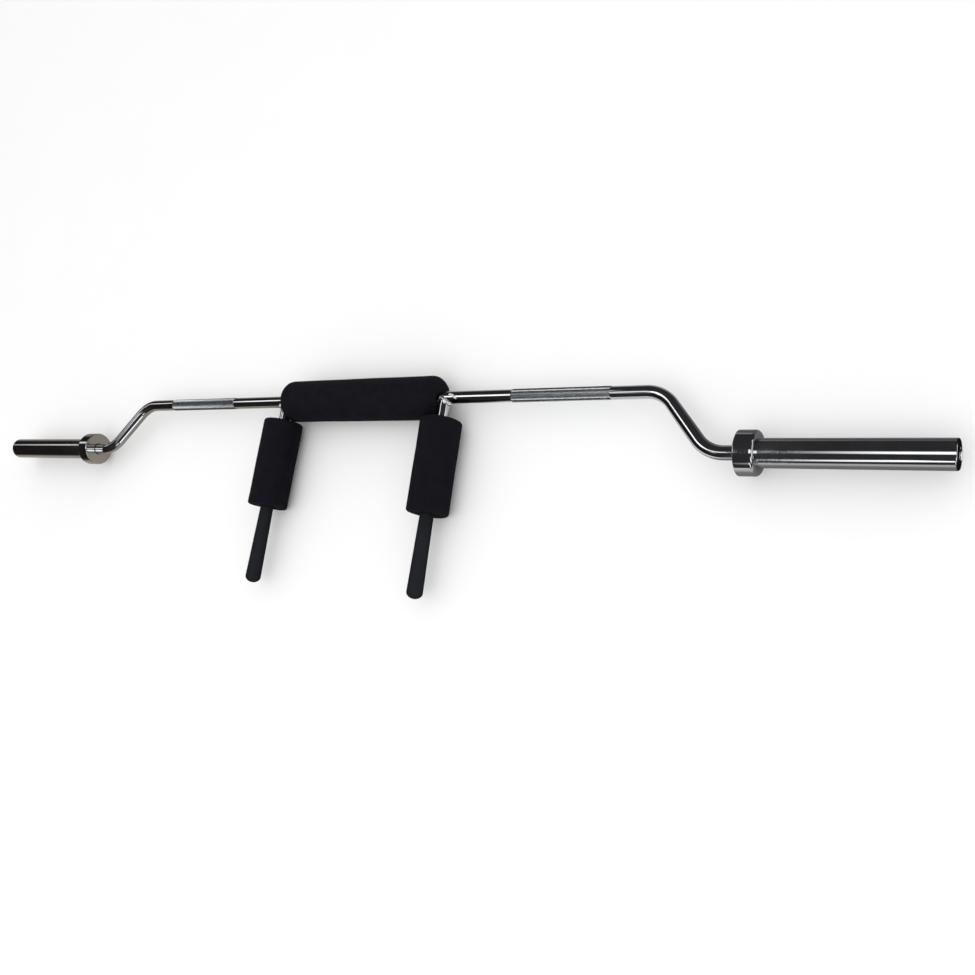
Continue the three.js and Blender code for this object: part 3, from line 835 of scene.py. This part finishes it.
bronze = polished(
    "oiled_bronze", bronze_colour, stretch=(700, 700, 700), cleanest=0.28, dullest=0.48, depth=8e-6
)
steel = polished(
    "hardened_steel", steel_colour, stretch=(900, 250, 250), cleanest=0.26, dullest=0.44, depth=4e-6
)
made_of = {
    "inner_bushing": bronze,
    "outer_bushing": bronze,
    "thrust_washer": steel,
    "end_washer": steel,
    "snap_ring": steel,
}
for side in ("left", "right"):
    for part, metal in made_of.items():
        nodes[f"{side}_{part}"].data.materials.clear()
        nodes[f"{side}_{part}"].data.materials.append(metal)


# The studio: a pale floor under an even pale dome, and one large soft box for gentle shading.
# Gloss sees a dim room instead, as polished chrome in a real room does: windows, long ceiling
# lights, and a floor with painted light and painted shade, bright in some places and dark in others.

floor_half = 14
# Colours of the light painted on the floor for gloss rays: warmer to the left.
painted_light_left_colour, painted_light_right_colour = (1, 0.90, 0.76, 1), (1, 1, 0.98, 1)
floor_mesh = bpy.data.meshes.new("floor")
floor_corners = [(floor_half * x, floor_half * y, 0) for x, y in [(-1, -1), (1, -1), (1, 1), (-1, 1)]]
floor_mesh.from_pydata(floor_corners, [], [(0, 1, 2, 3)])
floor = bpy.data.objects.new("floor", floor_mesh)
bpy.context.scene.collection.objects.link(floor)
# The floor's material: an even pale tone, and painted light and shade for gloss rays.
pale_floor_and_painted_light, floor_tree, floor_shader, floor_place = finish_of("pale_floor_and_painted_light")


def joined(tree, share, first, second):
    """The first value where the share is 0, and the second where it is 1."""
    return add(tree, "ShaderNodeMix", {0: share, 2: first, 3: second}).outputs[0]


def painted_floor_light(tree, place):
    """The light and shade painted on the floor, which only polished metal sees. Round the shaft: a
    painted pool of light close to it and in front of it past the arms, brighter to the right, and
    painted shadow in the shade of the pads. By the right sleeve: brighter in front than close to it,
    and by the left one the other way about. Painted dark far in front and past the right end. Warmer to
    the left."""
    x, y = parted(tree, place)[:2]
    off_middle = unsigned(tree, x)
    close_by = stepped(tree, y, 0.03, 0.16, 0.06, 0.70)
    in_front = stepped(tree, y, 0, 0.12, 1, 0)
    past_arms = product(tree, stepped(tree, off_middle, 0.32, 0.42, 0, 0.62), in_front)
    by_shaft = add(tree, "ShaderNodeMath", {0: close_by, 1: past_arms}, operation="ADD").outputs[0]
    back_fade = stepped(tree, y, 0.19, 0.36, 1, 0.3)
    rightward = stepped(tree, x, -0.5, 0.3, 0.6, 1.25)
    by_shaft = product(tree, by_shaft, back_fade, rightward)
    behind = stepped(tree, y, 0.13, 0.25, 1, 0.45)
    by_right = product(tree, stepped(tree, y, -0.14, -0.03, 0.52, 0.21), behind)
    by_left = product(tree, stepped(tree, y, -0.20, -0.02, 0.06, 0.42), behind)
    level = joined(tree, stepped(tree, x, 0.68, 0.78, 0, 1), by_shaft, by_right)
    level = joined(tree, stepped(tree, x, -0.80, -0.66, 1, 0), level, by_left)
    between_arms = stepped(tree, off_middle, 0.27, 0.34, 0.85, 0)
    in_shade = product(tree, between_arms, stepped(tree, y, 0.14, 0.18, 1, 0))
    lit = add(tree, "ShaderNodeMath", {0: 1, 1: in_shade}, operation="SUBTRACT").outputs[0]
    far = stepped(tree, y, -1.2, -0.3, 0.10, 1)
    past_end = stepped(tree, x, 1.165, 1.185, 1, 0.03)
    painted_light_colour = mixed(tree, stepped(tree, x, -0.7, 0, 0, 1), painted_light_left_colour, painted_light_right_colour)
    level = product(tree, level, lit, far, past_end)
    return add(tree, "ShaderNodeVectorMath", {0: painted_light_colour, 1: level}, operation="MULTIPLY").outputs[0]


floor_grain = add(floor_tree, "ShaderNodeTexNoise", {"Vector": floor_place, "Scale": 6, "Detail": 3})
floor_tone = add(
    floor_tree,
    "ShaderNodeMapRange",
    {"Value": floor_grain.outputs[0], "To Min": 0.90, "To Max": 0.92},
)
# Gloss rays see painted light and shade in the floor's colour instead of its even pale tone.
floor_ray = add(floor_tree, "ShaderNodeLightPath")
mirrored = painted_floor_light(floor_tree, floor_place)
floor_colour = mixed(floor_tree, floor_ray.outputs["Is Glossy Ray"], floor_tone.outputs[0], mirrored)
floor_tree.links.new(floor_colour, floor_shader.inputs["Base Color"])
floor_shader.inputs["Roughness"].default_value = 0.9
floor_shader.inputs["Specular IOR Level"].default_value = 0.1
floor_mesh.materials.append(pale_floor_and_painted_light)


def soft_box(name, place, along, facing, length, width, border, levels, diffuse=False):
    """A rectangular soft light at place, its length along one way and its front facing another.
    Levels give its radiance along its length, as pairs (share of the length, radiance), and
    it fades out over a border on its two long sides. Gloss alone sees it, or with diffuse not."""
    light = bpy.data.lights.new(name, "AREA")
    light.shape = "RECTANGLE"
    light.size, light.size_y = length, width
    strongest = max(level for share, level in levels)
    light.energy = strongest * math.pi * length * width
    lamp = bpy.data.objects.new(name, light)
    out = -np.array(facing, float)
    out /= np.linalg.norm(out)
    right = np.array(along, float)
    right -= out * right.dot(out)
    right /= np.linalg.norm(right)
    turn = np.eye(4)
    turn[:3, 0], turn[:3, 1], turn[:3, 2], turn[:3, 3] = right, np.cross(out, right), out, place
    lamp.matrix_world = Matrix(turn)
    lamp.visible_diffuse, lamp.visible_glossy, lamp.visible_camera = diffuse, not diffuse, False
    bpy.context.scene.collection.objects.link(lamp)
    if border:
        light.use_nodes = True
        tree = light.node_tree
        share = parted(tree, add(tree, "ShaderNodeNewGeometry").outputs["Parametric"])
        ramp = add(tree, "ShaderNodeValToRGB", {0: share[0]})
        stops = ramp.color_ramp.elements
        for position, level in levels:
            stop = {0: stops[0], 1: stops[-1]}.get(position) or stops.new(position)
            stop.color = (level / strongest,) * 3 + (1,)
        rise = stepped(tree, share[1], 0, border / width, 0, 1)
        fall = stepped(tree, share[1], 1 - border / width, 1, 1, 0)
        strength = product(tree, ramp.outputs[0], rise, fall)
        tree.links.new(strength, tree.nodes["Emission"].inputs["Strength"])


def flat_topped(level, rise):
    """Levels that rise from nothing over a share of the length, stay, and fall again by the end."""
    return [(0, 0), (rise, level), (1 - rise, level), (1, 0)]


ceiling = 2.8
down, along_bar, to_back, to_left = (0, 0, -1), (1, 0, 0), (0, 1, 0), (-1, 0, 0)
right_levels = [(0, 0), (0.03, 0.14), (0.074, 0.80), (0.12, 1.65), (0.18, 2.4), (0.6, 2.5), (1, 1)]
last_levels = [(0, 0.1), (0.35, 0.42), (0.55, 0.98), (1, 1.25)]
front_levels = [
    (0, 0), (0.22, 0.45), (0.43, 1.45), (0.65, 1.70), (0.85, 2.2), (0.93, 2.4), (0.98, 0), (1, 0)
]

ceiling_lights = {
    "right": (2.1, -0.30, 4.2, 1.10, 0.3, right_levels),
    "near": (-0.48, -0.28, 0.64, 1.1, 0.3, [(0, 1.35), (0.3, 1.35), (1, 1.1)]),
    "wide": (-1.075, 0.38, 0.49, 2.3, 0.4, [(0, 2.1), (1, 2.1)]),
    "middle": (-1.56, 0.15, 0.46, 1.5, 0.3, [(0, 1.5), (0.2, 1.95), (1, 1.95)]),
    "left": (-3.27, 1.14, 0.60, 1.5, 0.4, [(0, 1.3), (0.3, 1.9), (1, 1.9)]),
    "far": (-4.45, 1.80, 0.50, 1.5, 0.3, [(0, 1.6), (1, 1.6)]),
    "last": (-6.0, 1.85, 1.8, 1.3, 0.3, last_levels),
    "front": (-1.04, -1.25, 0.56, 0.9, 0.2, [(0, 0.5), (1, 0.5)]),
}
for where, (x, y, length, width, border, levels) in ceiling_lights.items():
    soft_box(f"ceiling_light_{where}", (x, y, ceiling), along_bar, down, length, width, border, levels)

windows = {
    "front": ((0.08, -3.6, 1.50), (1, 0, 0.6), to_back, 1.33, 1.25, 0.3, front_levels),
    "front_right": ((1.5, -3.6, 0.82), along_bar, to_back, 1.0, 1.75, 0.25, flat_topped(1.9, 0.1)),
    "end": ((4.2, 0.9, 0.6), to_back, to_left, 4.5, 1.2, 0.3, flat_topped(1.6, 0.1)),
    "end_front": ((4.2, -2.8, 1.9), to_back, to_left, 1.9, 2.6, 0.3, flat_topped(2.4, 0.1)),
    "end_back": ((4.2, 3.3, 2.1), to_back, to_left, 0.8, 1.4, 0.3, flat_topped(1.2, 0.2)),
}
for where, window in windows.items():
    soft_box(f"window_{where}", *window)
to_bar = (-0.8, 1.7, -3.2)
soft_box("key_box", (0.8, -1.6, 3.2), along_bar, to_bar, 2.4, 2.4, 0, [(0, 1.2)], diffuse=True)

left_wall, other_walls = (0.015, 0.012, 0.011, 1), (0.032, 0.032, 0.036, 1)
room = bpy.data.worlds.new("room")
bpy.context.scene.world = room
room.use_nodes = True
sky = room.node_tree
sky.nodes.clear()
dome = add(sky, "ShaderNodeBackground", {"Color": (1, 1, 1, 1), "Strength": 1.02})
direction = add(sky, "ShaderNodeTexCoord").outputs["Generated"]
sideways = parted(sky, direction)[0]
rightness = add(sky, "ShaderNodeMapRange", {"Value": sideways, "From Min": -0.8, "From Max": -0.3})
walls = mixed(sky, rightness.outputs[0], left_wall, other_walls)
dim = add(sky, "ShaderNodeBackground", {"Color": walls})
ray = add(sky, "ShaderNodeLightPath")
glossy = ray.outputs["Is Glossy Ray"]
either = add(sky, "ShaderNodeMixShader", {0: glossy, 1: dome.outputs[0], 2: dim.outputs[0]})
surface = add(sky, "ShaderNodeOutputWorld")
sky.links.new(either.outputs[0], surface.inputs["Surface"])


# The camera stands where the photograph's did against the bar, found from the bar's outlines.

camera = bpy.data.objects.new("camera", bpy.data.cameras.new("camera"))
camera.location = (1.41058, -0.36782, 1.65051)
camera.rotation_euler = (math.radians(16.1826), math.radians(31.3756), math.radians(10.0414))
camera.data.sensor_width = 36
camera.data.lens = 37.633
camera.data.clip_start, camera.data.clip_end = 0.02, 60
bpy.context.scene.collection.objects.link(camera)
bpy.context.scene.camera = camera
bpy.context.scene.view_settings.view_transform = "Standard"
